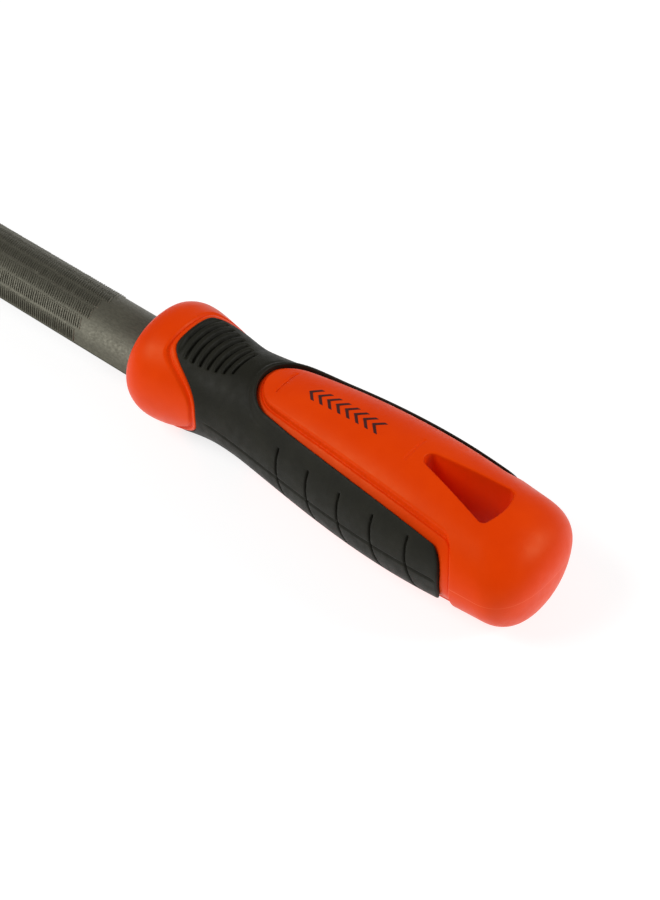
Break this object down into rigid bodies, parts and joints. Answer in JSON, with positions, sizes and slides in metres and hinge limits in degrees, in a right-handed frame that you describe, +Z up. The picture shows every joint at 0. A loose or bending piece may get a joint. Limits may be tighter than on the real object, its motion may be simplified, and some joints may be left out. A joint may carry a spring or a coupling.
{
  "type": "half-round wood rasp",
  "caption": "Half-round wood rasp with a tapered steel blade, a two-colour moulded handle with soft grip, thumb grooves and a hang hole.",
  "frame": {"origin": "middle of the tool's length, on the parting plane of the handle and the tool's plane of symmetry", "axes": "+X along the tool from the blade's tip towards the butt, +Z up out of the round face of the blade, +Y across the tool"},
  "size_m": [0.32, 0.0352, 0.033],
  "materials": {
    "blade_steel": "ground and cut, satin",
    "core_plastic": "satin moulded",
    "grip_rubber": "matt moulded",
    "mark_ink": "printed"
  },
  "bodies": {
    "root": {"rasp_blade": "blade_steel", "handle_core": "core_plastic", "soft_grip": "grip_rubber", "printed_mark": "mark_ink"}
  },
  "joints": []
}
